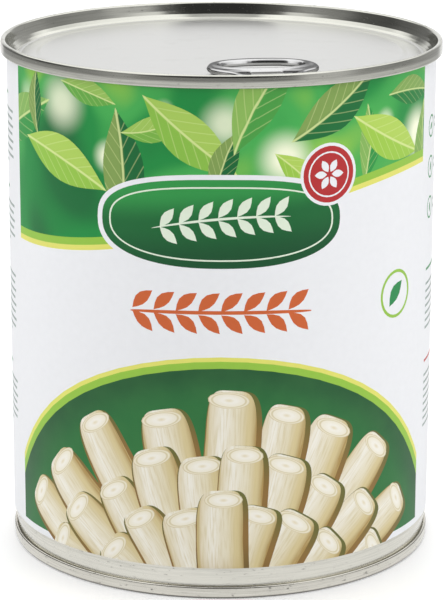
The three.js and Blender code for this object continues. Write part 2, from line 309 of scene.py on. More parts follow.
def hypotenuse(first, second):
    return maths("SQRT", times_plus(first, first, times(second, second)))


def noise(vector, scale, detail=3.0, roughness=0.5):
    inputs = {"Vector": vector, "Scale": scale, "Detail": detail, "Roughness": roughness}
    return add("TexNoise", inputs, "Fac")


def grain(vector, scales, detail, roughness=0.5):
    """Noise with a scale of its own along each axis."""
    return noise(add("Mapping", {"Vector": vector, "Scale": scales}, "Vector"), 1.0,
                 detail, roughness)


def axes_of(vector):
    return add("SeparateXYZ", {"Vector": vector}, 0).node.outputs


def bump(height, distance, strength=1.0, below=None):
    inputs = {"Height": height, "Distance": distance, "Strength": strength}
    if below is not None:
        inputs["Normal"] = below
    return add("Bump", inputs, "Normal")


def new_finish(name, **constants):
    """A new material, its node tree and its shader, with plain values set in the shader."""
    material = bpy.data.materials.new(name)
    material.use_nodes = True
    shader = material.node_tree.nodes["Principled BSDF"]
    for socket, value in constants.items():
        shader.inputs[socket.replace("_", " ")].default_value = value
    return material, material.node_tree, shader


def plug(shader, **links):
    for socket, value in links.items():
        shader.id_data.links.new(value, shader.inputs[socket.replace("_", " ")])


# -------- metal, rubber, floor


def floor_finish():
    material, tree, shader = new_finish(
        "floor_white", Roughness=0.6, Emission_Color=(1, 1, 1, 1), Emission_Strength=0.22)
    place = source(tree, "TexCoord", "Object")
    plug(shader, Base_Color=ramp(noise(place, 3.0), [(0.0, 0.93), (1.0, 0.95)]))
    return material


SEAM_RUN = (48.6 * MM, 49.6 * MM)
LACQUER_RUN = (46.9 * MM, 48.1 * MM)
# Heights over which the painted contact shadow at the foot of the base end fades out.
CONTACT_SHADOW_RUN = (0.25 * MM, 0.7 * MM)
WELD_HALF_WIDTH = 0.65 * MM
LACQUER_DULLING = 0.25
LACQUERED = (196, 196, 193)
# The tone of worn flecks, and also of the painted contact shadow at the foot.
WORN_AND_SHADOW = (84, 81, 76)
WELDED = (92, 92, 98)


def steel_finish(name, colour, polish, lacquered=False, edge=1.0, weld=False, contact_shadowed=False):
    """Rolled steel: faint mill lines, a little waviness, flecks and rubs, and the lines
    that the seaming rolls leave round both rims. Lacquer dulls the panel inside them and
    lays a clear coat over it. Edge is the share that it keeps of its shine along the
    view. A weld is a narrow dull line down the back, and a contact-shadowed end has a
    painted contact shadow that darkens it where it stands."""
    material, tree, shader = new_finish(
        name, Metallic=1.0, Coat_Roughness=0.2, Specular_Tint=(edge, edge, edge, 1))
    place = source(tree, "TexCoord", "Object")
    axes = axes_of(place)
    radius = hypotenuse(axes["X"], axes["Y"])
    bearing = maths("ARCTAN2", axes["X"], times(axes["Y"], -1.0))
    round_place = add("CombineXYZ", {0: times(bearing, LABEL_RADIUS), 1: radius, 2: axes["Z"]}, 0)
    on_seam = ramp(radius, [(0.0, 0.0), (1.0, 1.0)], *SEAM_RUN)

    rolled = grain(round_place, (60, 2200, 2200), 3.0, 0.65)
    lines = mix(on_seam, grain(place, (30, 1500, 1500), 2.0), rolled)
    cloud = noise(place, 45.0)
    fleck = grain(round_place, (480, 2100, 2100), 4.0, 0.7)
    flecks = ramp(times_plus(on_seam, SEAM_WEAR, fleck), [(0.66, 0.0), (0.72, 1.0)])
    rubs = ramp(grain(place, (120, 120, 420), 3.0, 0.6), [(0.55, 0.0), (0.72, 1.0)])

    tone = mix(ramp(cloud, [(0.3, 0.0), (0.7, 0.35)]), colour, darker(colour, 0.93))
    streaks = times(ramp(rolled, [(0.4, 0.0), (0.7, 0.4)]), on_seam)
    tone = mix(streaks, tone, darker(colour, 0.8))
    tone = mix(times(flecks, 0.6), tone, WORN_AND_SHADOW)
    if weld:
        line = maths("LESS_THAN", maths("ABSOLUTE", axes["X"]), WELD_HALF_WIDTH)
        behind = maths("GREATER_THAN", axes["Y"], 0.0)
        tone = mix(times(times(line, behind), 0.8), tone, WELDED)
    # Painted contact shadow: darkens the lowest part of the end towards the worn tone where it
    # stands on the floor.
    if contact_shadowed:
        tone = mix(ramp(axes["Z"], [(0.0, 0.9), (1.0, 0.0)], *CONTACT_SHADOW_RUN), tone, WORN_AND_SHADOW)
    rough = times_plus(lines, 0.06, polish - 0.03)
    rough = times_plus(rubs, 0.07, rough)
    rough = times_plus(flecks, 0.25, rough)
    if lacquered:
        coat = ramp(radius, [(0.0, 1.0), (1.0, 0.0)], *LACQUER_RUN)
        rough = times_plus(coat, LACQUER_DULLING, rough)
        tone = mix(coat, tone, LACQUERED)
        plug(shader, Coat_Weight=coat)
    low = bump(cloud, 0.02 * MM, 0.5)
    grooves = bump(lines, 0.006 * MM, times_plus(on_seam, 0.5, 0.08), low)
    plug(shader, Base_Color=tone, Roughness=rough, Normal=grooves)
    return material


def compound_finish():
    material, tree, shader = new_finish("seam_rubber", Roughness=0.75)
    crumb = noise(source(tree, "TexCoord", "Object"), 900.0)
    tone = ramp(crumb, [(0.3, (128, 124, 112)), (0.7, (158, 154, 142))])
    plug(shader, Base_Color=tone, Normal=bump(crumb, 0.03 * MM))
    return material


# -------- mesh helpers


def mesh_object(name, points, faces, sharp_angle=35):
    """An object with smooth faces, and sharp edges where they turn more than the angle."""
    mesh = bpy.data.meshes.new(name)
    mesh.from_pydata([tuple(point) for point in points], [], faces)
    mesh.update()
    mesh.shade_smooth()
    mesh.set_sharp_from_angle(angle=math.radians(sharp_angle))
    return new_object(name, mesh)


def ring_of(radius, height, steps):
    """Points round the Z axis, or the one point where the radius is nothing."""
    if radius <= ON_AXIS:
        return [(0.0, 0.0, height)]
    angles = [2 * math.pi * i / steps for i in range(steps)]
    return [(radius * math.cos(a), radius * math.sin(a), height) for a in angles]


def rounded(corners):
    """The line through (radius, height, bend) corners, each rounded to its own bend."""
    points = [Vector(corners[0][:2])]
    for before, corner, after in zip(corners, corners[1:], corners[2:]):
        here = Vector(corner[:2])
        back = (Vector(before[:2]) - here).normalized()
        on = (Vector(after[:2]) - here).normalized()
        half = back.angle(on) / 2
        if corner[2] == 0 or half > NEARLY_STRAIGHT:
            points.append(here)
            continue
        centre = here + (back + on).normalized() * (corner[2] / math.sin(half))
        start = here + back * (corner[2] / math.tan(half)) - centre
        stop = here + on * (corner[2] / math.tan(half)) - centre
        first = math.atan2(start.y, start.x)
        turn = (math.atan2(stop.y, stop.x) - first + math.pi) % (2 * math.pi) - math.pi
        count = max(2, round(BEND_STEPS * abs(turn) / (math.pi / 2)))
        for i in range(count + 1):
            angle = first + turn * i / count
            points.append(centre + Vector((math.cos(angle), math.sin(angle))) * start.length)
    points.append(Vector(corners[-1][:2]))
    return points


def steadied(line):
    """The line with points near the ends of its straight runs, so that smooth shading
    keeps those runs straight."""
    result = [line[0]]
    for here, after in zip(line, line[1:]):
        run = after - here
        if run.length > 5 * STEADY_REACH:
            reach = run.normalized() * STEADY_REACH
            result += [here + reach, after - reach]
        result.append(after)
    return result


def sheet_outline(line, thickness):
    """The closed outline of a bent sheet, half its thickness to each side of a line."""
    middle = steadied(line)
    last = len(middle) - 1
    ways = [(middle[i + 1] - middle[i]).normalized() for i in range(last)]
    sides = []
    for sign in (1, -1):
        side = []
        for i, point in enumerate(middle):
            into = ways[max(i - 1, 0)]
            mitre = (into + ways[min(i, last - 1)]).normalized()
            reach = sign * thickness / 2 / mitre.dot(into)
            side.append(point + Vector((-mitre.y, mitre.x)) * reach)
        sides.append(side)
    return sides[0] + sides[1][::-1]


def signed_area(outline):
    following = outline[1:] + outline[:1]
    return sum(a[0] * b[1] - b[0] * a[1] for a, b in zip(outline, following)) / 2


def lofted(name, rings, sharp_angle, closed=False):
    """Joins rings of the same count of points, or single points, one to the next, and
    the last to the first where it is closed."""
    around = max(len(ring) for ring in rings)
    points, numbered = [], []
    for ring in rings:
        numbered.append([len(points) + i % len(ring) for i in range(around)])
        points += ring
    faces = []
    for lower, upper in zip(numbered, numbered[1:] + (numbered[:1] if closed else [])):
        for i in range(around):
            j = (i + 1) % around
            corners = [lower[i], lower[j], upper[j], upper[i]]
            face = [c for n, c in enumerate(corners) if c != corners[n - 1]]
            if len(face) > 2:
                faces.append(face)
    return mesh_object(name, points, faces, sharp_angle)


def turned(name, outline, steps=TURN_STEPS, sharp_angle=35):
    """Turns a closed outline of (radius, height) about +Z into a closed mesh."""
    if signed_area(outline) < 0:
        outline = outline[::-1]
    rings = [ring_of(radius, height, steps) for radius, height in outline]
    return lofted(name, rings, sharp_angle, closed=True)


def dress(piece, body, finish, node=None):
    """Gives a piece its finish, slot and body, and hides the node that it stands for."""
    piece.data.materials.append(finish)
    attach(piece, body)
    if node:
        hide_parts(node)


# -------- ends and body


def seam_of(end):
    """Radii of the five layers of a double seam, from outside in."""
    outer_wall = end.seam_radius - END_PLATE / 2
    return SimpleNamespace(
        outer_wall=outer_wall,
        body_hook=outer_wall - LAYER_PITCH,
        cover_hook=outer_wall - 2 * LAYER_PITCH,
        body_wall=outer_wall - 3 * LAYER_PITCH,
        chuck_wall=outer_wall - 4 * LAYER_PITCH,
        hook_foot=end.seam_height - END_PLATE / 2,
    )


def chuck_radius(end, depth):
    """The radius of the leaning chuck wall at a depth."""
    foot_radius, foot_depth = end.wall_foot
    top_depth = END_PLATE / 2 + 2 * LAYER_PITCH
    lean = (seam_of(end).chuck_wall - foot_radius) / (foot_depth - top_depth)
    return foot_radius + (foot_depth - depth) * lean


def end_middle(end):
    """The middle of an end's sheet as (radius, depth), from the axis to its hook's tip."""
    seam = seam_of(end)
    depth = end.panel_depth + END_PLATE / 2
    corners = [(0, depth, 0)]
    for radius, drop in end.steps:
        corners.append((radius - STEP_RUN, depth, STEP_BEND))
        depth += drop
        corners.append((radius + STEP_RUN, depth, STEP_BEND))
    foot = end.groove_depth + END_PLATE / 2
    flare_top, flare_foot, flare_bend = end.flare
    crown = END_PLATE / 2
    crown_bend = 2 * LAYER_PITCH
    corners += [
        (end.groove_radius, depth, PANEL_BEND),
        (end.groove_radius, foot, GROOVE_BEND),
        (flare_foot, foot, 2 * GROOVE_BEND),
        (chuck_radius(end, flare_top), flare_top, flare_bend),
        (chuck_radius(end, crown), crown, crown_bend),
        (seam.outer_wall - SEAM_BULGE, crown, crown_bend - 2 * SEAM_BULGE),
        (seam.outer_wall, end.seam_height / 2, 8 * MM),
        (seam.outer_wall - SEAM_BULGE, seam.hook_foot, 0.9 * LAYER_PITCH),
        (seam.cover_hook, seam.hook_foot, 0.75 * LAYER_PITCH),
        (seam.cover_hook, crown + crown_bend + HOOK_CLEARANCE, 0),
    ]
    return rounded(corners)


def score_notch(outline, face_height):
    """Cuts the score's V into the stretch of an outline that lies level on a height."""
    cut = [
        Vector((SCORE_RADIUS - SCORE_HALF_WIDTH, face_height)),
        Vector((SCORE_RADIUS, face_height - SCORE_DEPTH)),
        Vector((SCORE_RADIUS + SCORE_HALF_WIDTH, face_height)),
    ]
    result = []
    for here, after in zip(outline, outline[1:] + outline[:1]):
        result.append(here)
        level = abs(here.y - face_height) + abs(after.y - face_height) < 1e-8
        if level and min(here.x, after.x) < SCORE_RADIUS < max(here.x, after.x):
            result += cut if here.x < after.x else cut[::-1]
    return result


def lid_shell():
    line = [Vector((radius, TIN_HEIGHT - depth)) for radius, depth in end_middle(LID)]
    face = PANEL_TOP - LID.steps[0][1]
    return turned("lid_shell", score_notch(sheet_outline(line, END_PLATE), face))


def base_shell():
    return turned("base_shell", sheet_outline(end_middle(BASE), END_PLATE))


def body_hook(end):
    """The body wall's hook inside a seam, from the wall to the hook's tip."""
    seam = seam_of(end)
    crown = END_PLATE / 2 + LAYER_PITCH
    return [
        (seam.body_wall, crown, 0.45 * LAYER_PITCH),
        (seam.body_hook, crown, 0.45 * LAYER_PITCH),
        (seam.body_hook, seam.hook_foot - LAYER_PITCH - HOOK_CLEARANCE, 0),
    ]


def body_shell():
    wall = BODY_RADIUS - BODY_PLATE / 2
    top_seam = seam_of(LID)
    crown_foot = END_PLATE / 2 + 2 * LAYER_PITCH
    lean = (chuck_radius(LID, 0) - chuck_radius(LID, crown_foot)) / crown_foot
    flare = crown_foot + (top_seam.body_wall - wall) / lean
    corners = [
        *body_hook(BASE)[::-1],
        (seam_of(BASE).body_wall, NECK_BOTTOM, 1.6 * MM),
        (wall, NECK_TOP, 2.4 * MM),
        (wall, TIN_HEIGHT - flare, 0.8 * MM),
        (top_seam.body_wall, TIN_HEIGHT - crown_foot, 0.4 * MM),
        *[(radius, TIN_HEIGHT - depth, bend) for radius, depth, bend in body_hook(LID)],
    ]
    return turned("body_shell", sheet_outline(rounded(corners), BODY_PLATE))


# -------- plan meshes


def bezier(*corners):
    """Points on the cubic curve of four corners, without its last."""
    a, b, c, d = map(Vector, corners)
    shares = [i / CURVE_STEPS for i in range(CURVE_STEPS)]
    return [a * (1 - t) ** 3 + b * 3 * t * (1 - t) ** 2 + c * 3 * t * t * (1 - t) + d * t**3
            for t in shares]


def mirrored(start, curves):
    """A closed loop from the curves of its right half, mirrored about the Y axis."""
    right, here = [], start
    for curve in curves:
        right += bezier(here, *curve)
        here = curve[-1]
    right.append(Vector(here))
    left = [Vector((-p.x, p.y)) for p in right[-2:0:-1]]
    return evenly(right + left, LOOP_SPACING)


def evenly(outline, spacing):
    """A closed outline again, with its points about a spacing apart."""
    places = np.array([tuple(p) for p in outline + outline[:1]])
    gone = np.concatenate([[0], np.cumsum(np.hypot(*np.diff(places, axis=0).T))])
    count = max(12, round(gone[-1] / spacing))
    marks = np.linspace(0, gone[-1], count, endpoint=False)
    return np.column_stack([np.interp(marks, gone, places[:, axis]) for axis in (0, 1)])


def moved_in(loop, distance):
    """A counter-clockwise loop moved to its left by a distance."""
    along = np.roll(loop, -1, axis=0) - np.roll(loop, 1, axis=0)
    along /= np.hypot(*along.T)[:, None]
    return loop + np.column_stack([-along[:, 1], along[:, 0]]) * distance


def inside(points, loop):
    """Which points lie inside a closed loop."""
    x, y = points.T
    result = np.zeros(len(points), bool)
    for (ax, ay), (bx, by) in zip(loop, np.roll(loop, -1, axis=0)):
        if ay == by:
            continue
        crosses = (ay > y) != (by > y)
        result ^= crosses & (x < ax + (y - ay) * (bx - ax) / (by - ay))
    return result


def distance_to(points, loop):
    """How far points lie from a closed loop."""
    nearest = np.full(len(points), np.inf)
    for start, end in zip(loop, np.roll(loop, -1, axis=0)):
        way = end - start
        share = np.clip((points - start) @ way / (way @ way), 0, 1)
        nearest = np.minimum(nearest, np.hypot(*(points - start - share[:, None] * way).T))
    return nearest


def used_only(faces):
    """The points that faces use, and the faces renumbered over just those."""
    used = sorted({corner for face in faces for corner in face})
    renamed = {old: new for new, old in enumerate(used)}
    return used, [[renamed[corner] for corner in face] for face in faces]


def plate(name, rim, holes, edge_steps, heights):
    """A closed plate over a plan. Its rim and holes are counter-clockwise loops, and
    heights(points) gives its bottom and top, which meet along those loops."""
    loops = [rim, *holes]
    rows, ties, count = [], [], 0
    for loop in loops:
        for step in edge_steps:
            ring = moved_in(loop, step if loop is rim else -step)
            if step == 0:
                ties += [(count + i, count + (i + 1) % len(ring)) for i in range(len(ring))]
            else:
                for other in loops:
                    clear = 0.98 * step if other is loop else step
                    ring = ring[distance_to(ring, other) > clear]
            rows.append(ring)
            count += len(ring)
    grid = [np.arange(low, high, PLATE_GRID) for low, high in zip(rim.min(0), rim.max(0))]
    field = np.array(np.meshgrid(*grid)).reshape(2, -1).T
    field = field[inside(field, rim)]
    for loop in loops:
        field = field[distance_to(field, loop) > edge_steps[-1] + PLATE_GRID / 2]
    rows.append(field)
    made = delaunay_2d_cdt([Vector(p) for p in np.vstack(rows)], ties, [], 0, 1e-9)
    spots = np.array([tuple(p) for p in made[0]])
    faces = np.array([*made[2]])
    middles = spots[faces].mean(axis=1)
    in_holes = [inside(middles, hole) for hole in holes]
    faces = faces[inside(middles, rim) & ~np.any(in_holes, axis=0)]
    bottom, top = heights(spots)
    on_edge = np.min([distance_to(spots, loop) for loop in loops], axis=0) < ON_EDGE
    top = np.where(on_edge, (bottom + top) / 2, top)
    lower = np.arange(len(spots)) + np.where(on_edge, 0, len(spots))
    points = np.vstack([np.column_stack([spots, top]), np.column_stack([spots, bottom])])
    used, solid = used_only([*faces, *[lower[face[::-1]] for face in faces]])
    return mesh_object(name, points[used], solid, 50)


# -------- the tab

TAB_NOSE = (0, -5.3 * MM)
TAB_HEEL = (0, 17.3 * MM)
TAB_HALF_WIDTH = 12.4 * MM
NOSE_HALF_WIDTH = 7.2 * MM
HOLE_HALF_WIDTH = 9.4 * MM
HOLE_FRONT = 5.2 * MM
HOLE_BACK = 14.9 * MM
WINDOW_HALF_WIDTH = 3.6 * MM
WINDOW_FRONT = -3.0 * MM
WINDOW_BACK = 3.45 * MM
CURL_RADIUS = 0.65 * MM
BAR_SLOPE = 1.75
BAR_DROP = 0.35 * MM
BAR_RUN = (7 * MM, 11 * MM)
VALLEY_RUN = (0.75 * MM, 1.5 * MM)
VALLEY_DEPTH = 0.34 * MM
HOLLOW_DEPTH = 0.42 * MM
WEB_RUN = (1.2 * MM, 2.6 * MM)
WEB_END = (3.2 * MM, 4.4 * MM)
WEB_DEPTH = 0.3 * MM
TONGUE_PLATE = 0.3 * MM
TONGUE_HALF_WIDTH = 3.2 * MM
TONGUE_FRONT = -2.75 * MM
TONGUE_BACK = 3.15 * MM
PAD_RADIUS = 3.3 * MM
PAD_HEIGHT = 0.3 * MM
SHANK_RADIUS = 1.5 * MM
HEAD_RADIUS = 2.6 * MM
HEAD_HEIGHT = 0.45 * MM
TONGUE_BOTTOM = PAD_HEIGHT + SEAM_GAP
HEAD_BOTTOM = TONGUE_BOTTOM + TONGUE_PLATE + SEAM_GAP
EDGE_STEPS = [share * MM for share in (0, 0.04, 0.11, 0.22, 0.36, 0.52, 0.7, 0.95, 1.25)]
THIN_EDGE_STEPS = [share * MM for share in (0, 0.03, 0.08, 0.15, 0.3)]


def tab_rim():
    curves = [
        [(0.62 * NOSE_HALF_WIDTH, TAB_NOSE[1]), (0.9 * NOSE_HALF_WIDTH, -4.2 * MM),
         (NOSE_HALF_WIDTH, -1.6 * MM)],
        [(8.4 * MM, 2.2 * MM), (TAB_HALF_WIDTH, 2.2 * MM), (TAB_HALF_WIDTH, 8 * MM)],
        [(TAB_HALF_WIDTH, 13.6 * MM), (8.2 * MM, TAB_HEEL[1]), TAB_HEEL],
    ]
    return mirrored(TAB_NOSE, curves)


def finger_hole():
    middle = (HOLE_FRONT + HOLE_BACK) / 2
    curves = [
        [(6.6 * MM, HOLE_FRONT), (HOLE_HALF_WIDTH, 7.2 * MM), (HOLE_HALF_WIDTH, middle)],
        [(HOLE_HALF_WIDTH, 13 * MM), (6.6 * MM, HOLE_BACK), (0, HOLE_BACK)],
    ]
    return mirrored((0, HOLE_FRONT), curves)


def round_box(wide, front, back, bend, spacing=LOOP_SPACING):
    """A counter-clockwise box outline with rounded corners, as wide to each side."""
    corners = [(wide, front), (wide, back), (-wide, back), (-wide, front)]
    ring = [(0, front, 0), *[(*corner, bend) for corner in corners], (0, front, 0)]
    return evenly(rounded(ring)[:-1], spacing)


def curled(bottom, top, edge_distance, radius, steep=0.0):
    """Rounds a plate's bottom and top together towards its edge. Where it is steep, they
    rise straight from the edge and then bend over."""
    middle, half = (bottom + top) / 2, (top - bottom) / 2
    share = np.clip(edge_distance / radius, 0, 1)
    rise = BAR_SLOPE * edge_distance / half
    full = np.sqrt(1 - (1 - share) ** 2)
    full = full + steep * (rise / (1 + rise**6) ** (1 / 6) - full)
    return middle - half * full, middle + half * full


def tab_frame(piece):
    """Moves a piece from the tab's own plan to its place on the lid."""
    place = Matrix.Translation((RIVET_X, RIVET_Y, PANEL_TOP))
    piece.data.transform(place @ Matrix.Rotation(TAB_BEARING, 4, "Z"))
    return piece


def pull_tab():
    rim, hole = tab_rim(), finger_hole()
    window = round_box(WINDOW_HALF_WIDTH, WINDOW_FRONT, WINDOW_BACK, 0.7 * MM)

    def heights(spots):
        """Curled edges stand round a lower web, which is hollow below, and join in one
        steep-sided bar along the far side of the ring."""
        from_rim = distance_to(spots, rim)
        from_curl = np.minimum(from_rim, distance_to(spots, hole))
        web = smooth_step(*WEB_RUN, from_rim) * (1 - smooth_step(*WEB_END, spots[:, 1]))
        bar = smooth_step(*BAR_RUN, spots[:, 1])
        valley = smooth_step(*VALLEY_RUN, from_curl) * (1 - bar)
        top = TAB_THICKNESS - VALLEY_DEPTH * valley - WEB_DEPTH * web
        bottom = HOLLOW_DEPTH * valley - BAR_DROP * bar
        edge = np.minimum(from_curl, distance_to(spots, window))
        return curled(bottom, top, edge, CURL_RADIUS, bar)

    tab = plate("ring_tab", rim, [hole, window], EDGE_STEPS, heights)
    tab.data.transform(Matrix.Translation((0, 0, TAB_GAP)))
    return tab_frame(tab)


def rivet_tongue():
    rim = round_box(TONGUE_HALF_WIDTH, TONGUE_FRONT, TONGUE_BACK, 0.8 * MM, 0.25 * MM)
    shank_hole = np.array(ring_of(SHANK_RADIUS + 0.1 * MM, 0, 40))[:, :2]

    def heights(spots):
        edge = np.minimum(distance_to(spots, rim), distance_to(spots, shank_hole))
        flat = np.full(len(spots), TONGUE_BOTTOM)
        return curled(flat, flat + TONGUE_PLATE, edge, TONGUE_PLATE / 2)

    return tab_frame(plate("tongue", rim, [shank_hole], THIN_EDGE_STEPS, heights))


def rivet():
    """The rivet, drawn up from the lid: its pad, its shank and a head with a dimple."""
    top = HEAD_BOTTOM + HEAD_HEIGHT
    corners = [
        (0, -END_PLATE / 2, 0),
        (PAD_RADIUS, -END_PLATE / 2, 0),
        (PAD_RADIUS, 0, 0.2 * MM),
        (PAD_RADIUS - PAD_HEIGHT, PAD_HEIGHT, 0.25 * MM),
        (SHANK_RADIUS, PAD_HEIGHT, 0),
        (SHANK_RADIUS, HEAD_BOTTOM, 0),
        (HEAD_RADIUS, HEAD_BOTTOM, 0.14 * MM),
        (HEAD_RADIUS, top - 0.06 * MM, 0.2 * MM),
        (0.62 * HEAD_RADIUS, top, 0.8 * MM),
        (0.34 * HEAD_RADIUS, top - 0.22 * MM, 0.4 * MM),
        (0, top - 0.24 * MM, 0),
    ]
    return tab_frame(turned("lid_rivet", rounded(corners), steps=72, sharp_angle=50))


# -------- the label's design
# The label's plan is in millimetres: across, from the middle of the front to the right,
# and up, from the floor. A motif lies over those before it in the list.

LABEL_STEP = 1.5
LABEL_LEVELS = 8
LAP = 9.0
CLIMB_START = 173
PLAN_PER_RADIAN = LABEL_RADIUS / MM
PANEL_HALF = math.radians(67) * PLAN_PER_RADIAN
PLAN_LOW = LABEL_BOTTOM / MM
PLAN_HIGH = LABEL_TOP / MM
PICTURE_LOW = PLAN_LOW + 1.5
FAN_HEART = -12.0
LINE_PITCH = 1.75
STRIP_WIDTH = 21
ROW_HEIGHT = 5.2
RULE = 0.35
FAR_MOTIF = 9.0
SHADER_UNIT = 100
CUT_PRECISION = 1e-4
RIM_BAND = 1e-3


# A printed shape: its ink, its outline, the motif that it shows within, and the local
# frame that shades it where it is framed.
Motif = namedtuple("Motif", "ink outline within place size turn bow tint framed",
                   defaults=(None, (0, 0), (1, 1), 0.0, 0.0, 0.5, False))


def blob(ink, place, size, turn=0.0, bow=0.0, power=2.0, point=0.0, tint=0.5, within=None):
    """An oval, a rounded bar at a high power, or a leaf where it has points."""
    count = int(np.clip(2.6 * (size[0] + size[1]), 14, 72))
    angles = np.linspace(0, 2 * math.pi, count, endpoint=False)
    along, across = [np.sign(way) * np.abs(way) ** (2 / power)
                     for way in (np.cos(angles), np.sin(angles))]
    across = size[1] * across * (1 - along**2) ** point + bow * (1 - along**2)
    turn = math.radians(turn)
    x = place[0] + size[0] * along * math.cos(turn) - across * math.sin(turn)
    y = place[1] + size[0] * along * math.sin(turn) + across * math.cos(turn)
    return Motif(ink, np.column_stack([x, y]), within, place, size, turn, bow, tint, True)


def area(ink, left, right, low, high):
    return Motif(ink, np.array([(left, low), (right, low), (right, high), (left, high)], float))


def leafy_field():
    """A green field of leaves and soft lights along the top of the front panel. Its lower
    edge rises from left to right, with a yellow and a lime band under it."""
    across = np.linspace(-PANEL_HALF, PANEL_HALF, 48)
    edge = 88 + 9 * np.sin(math.pi * across / (2 * PANEL_HALF))
    over = np.column_stack([across, edge + 0.4])[::-1]
    for ink, drop in (("yellow", 2.9), ("lime", 1.7)):
        yield Motif(ink, np.vstack([np.column_stack([across, edge - drop]), over]))
    top = [(PANEL_HALF, PLAN_HIGH + 1), (-PANEL_HALF, PLAN_HIGH + 1)]
    field = Motif("field", np.vstack([np.column_stack([across, edge]), top]))
    yield field
    for i in range(9):
        place = (-52 + 13.2 * i, 107 + 7 * math.sin(2.2 * i + 0.4))
        size = 5.5 + 3 * math.sin(1.7 * i)
        yield blob("field", place, (size, size), tint=0.45 + 0.3 * (i % 3), within=field)
    for i in range(15):
        place = (-56 + 8.2 * i, 104.5 + 9 * math.sin(2.6 * i) + 0.04 * i)
        length = 11 + 4 * math.sin(3.1 * i + 1)
        yield blob("leaf", place, (length, 0.36 * length), 25 + 70 * math.sin(1.9 * i),
                   bow=1.6 * math.sin(i), point=0.8, tint=0.5 + 0.5 * math.sin(4.3 * i),
                   within=field)


def plaque():
    """A plain dark oval with a pale line inside its edge and a sprig across it."""
    middle = (0, 86.5)
    for ink, size in (("paper", (28.6, 11.0)), ("plaque", (27.4, 9.9)), ("pale", (25.6, 8.3)),
                      ("plaque", (25.2, 7.95))):
        yield blob(ink, middle, size, power=2.5)
    yield blob("pale", middle, (15.5, 0.28), turn=5, bow=1.2)
    for i in range(7):
        along = -13.5 + 4.2 * i
        foot = middle[1] + 0.09 * along + 1.2 * (1 - (along / 15.5) ** 2)
        reach = 3.1 - 0.14 * abs(i - 3)
        for turn in (5 - 48, 5 + 48):
            lean = math.radians(turn)
            place = (along + reach * math.cos(lean), foot + reach * math.sin(lean))
            yield blob("pale", place, (2.7, 1.15), turn, point=0.8)


def discs_on(middle, *discs):
    """Discs on one middle, each an ink and a radius."""
    return [blob(ink, middle, (radius, radius)) for ink, radius in discs]


def seal():
    """A small red disc with a pale ring and a flower of six petals."""
    x, y = 24.5, 96.4
    yield from discs_on((x, y), ("paper", 7.0), ("red", 6.3), ("paper", 5.1), ("red", 4.75))
    for turn in range(0, 360, 60):
        angle = math.radians(turn)
        place = (x + 2.1 * math.cos(angle), y + 2.1 * math.sin(angle))
        yield blob("paper", place, (1.5, 0.85), turn, point=0.55)


def garland():
    """A row of orange leaves on a stem below the oval."""
    yield blob("orange", (0, 66.2), (20.5, 0.42), bow=0.5, power=3)
    for i in range(8):
        for side in (-1, 1):
            place = (-17.6 + 5.0 * i, 66.5 + side * 2.5)
            yield blob("orange", place, (3.2, 1.35), side * 42, bow=0.3, point=0.7)


def fan(within):
    """Three rows of peeled sticks spread like a fan over a round green ground."""
    rows = [(9, 14.6, 44.0, 15.5, 5.5), (10, 13.8, 33.5, 14.0, 5.3), (9, 16.0, 24.0, 12.0, 5.2)]
    for row, (count, pitch, reach, half_length, half_width) in enumerate(rows):
        for i in sorted(range(count), key=lambda i: -abs(i - (count - 1) / 2)):
            number = 11 * row + i
            bearing = pitch * (i - (count - 1) / 2) + 1.8 * math.sin(5.1 * number)
            away = reach + 1.9 * math.sin(3.7 * number)
            heading = math.radians(90 - bearing)
            way = Vector((math.cos(heading), math.sin(heading)))
            place = Vector((0, FAN_HEART)) + way * away
            size = (half_length, half_width + 0.35 * math.sin(2.3 * number))
            turn = 90 - bearing + 3 * math.sin(1.3 * number)
            look = dict(turn=turn, tint=0.5 + 0.5 * math.sin(4.9 * number), within=within)
            bent = dict(bow=0.8 * math.sin(number), power=4.5, **look)
            shadow = (size[0] + 0.5, size[1] + 0.75)
            yield blob("shade", place + Vector((0.5, -0.5)), shadow, **bent)
            yield blob("stick", place, size, **bent)
            face = (1.9, size[1] * 0.84)
            yield blob("cut", place + way * (size[0] - 2.3), face, power=2.1, **look)


def picture():
    """The lower half of the front panel, with a bare margin below."""
    whole = area("paper", -PANEL_HALF, PANEL_HALF, PICTURE_LOW, 58)
    yield whole
    for ink, radius in (("yellow", 68.6), ("lime", 67.6), ("ground", 66)):
        ground = blob(ink, (0, FAN_HEART), (radius, radius), within=whole)
        yield ground
    yield from fan(ground)


def small_mark():
    """A plain disc with a leaf, at the right of the front panel."""
    middle = (45.5, 66)
    yield from discs_on(middle, ("lime", 5.6), ("paper", 4.9))
    yield blob("green", middle, (3.6, 1.7), 48, bow=0.4, point=0.7)


def lines_of_print(left, right, high, count, ink="small_print"):
    """Plain bars in rows, where a real label has its small print."""
    for i in range(count):
        ends = right - (right - left) * (0.3 if i == count - 1 else 0.04 * (i * i % 4))
        yield area(ink, left, ends, high - i * LINE_PITCH - 0.62, high - i * LINE_PITCH)


def side_strips():
    """Blocks of small print beside the front panel. One line alone is a heading."""
    left, right = -PANEL_HALF - 26, PANEL_HALF + 4.5
    for high, count in ((108, 1), (104.5, 8), (86, 1), (82.5, 6), (66, 9), (44, 1), (40.5, 7)):
        ink = "green" if count == 1 else "small_print"
        yield from lines_of_print(left, left + STRIP_WIDTH, high, count, ink)
    for i in range(3):
        middle = (right + 2.4, 101 - 9.5 * i)
        yield from discs_on(middle, ("green", 2.7), ("paper", 2.25))
        yield blob("green", middle, (1.3, 0.6), 35 + 30 * i, point=0.65)
        yield from lines_of_print(right + 7, right + STRIP_WIDTH, 102.2 - 9.5 * i, 2)
    for high, count, ink in ((68, 1, "green"), (64.5, 7, "small_print"), (46, 1, "red"),
                             (42.5, 8, "small_print")):
        yield from lines_of_print(right, right + STRIP_WIDTH, high, count, ink)


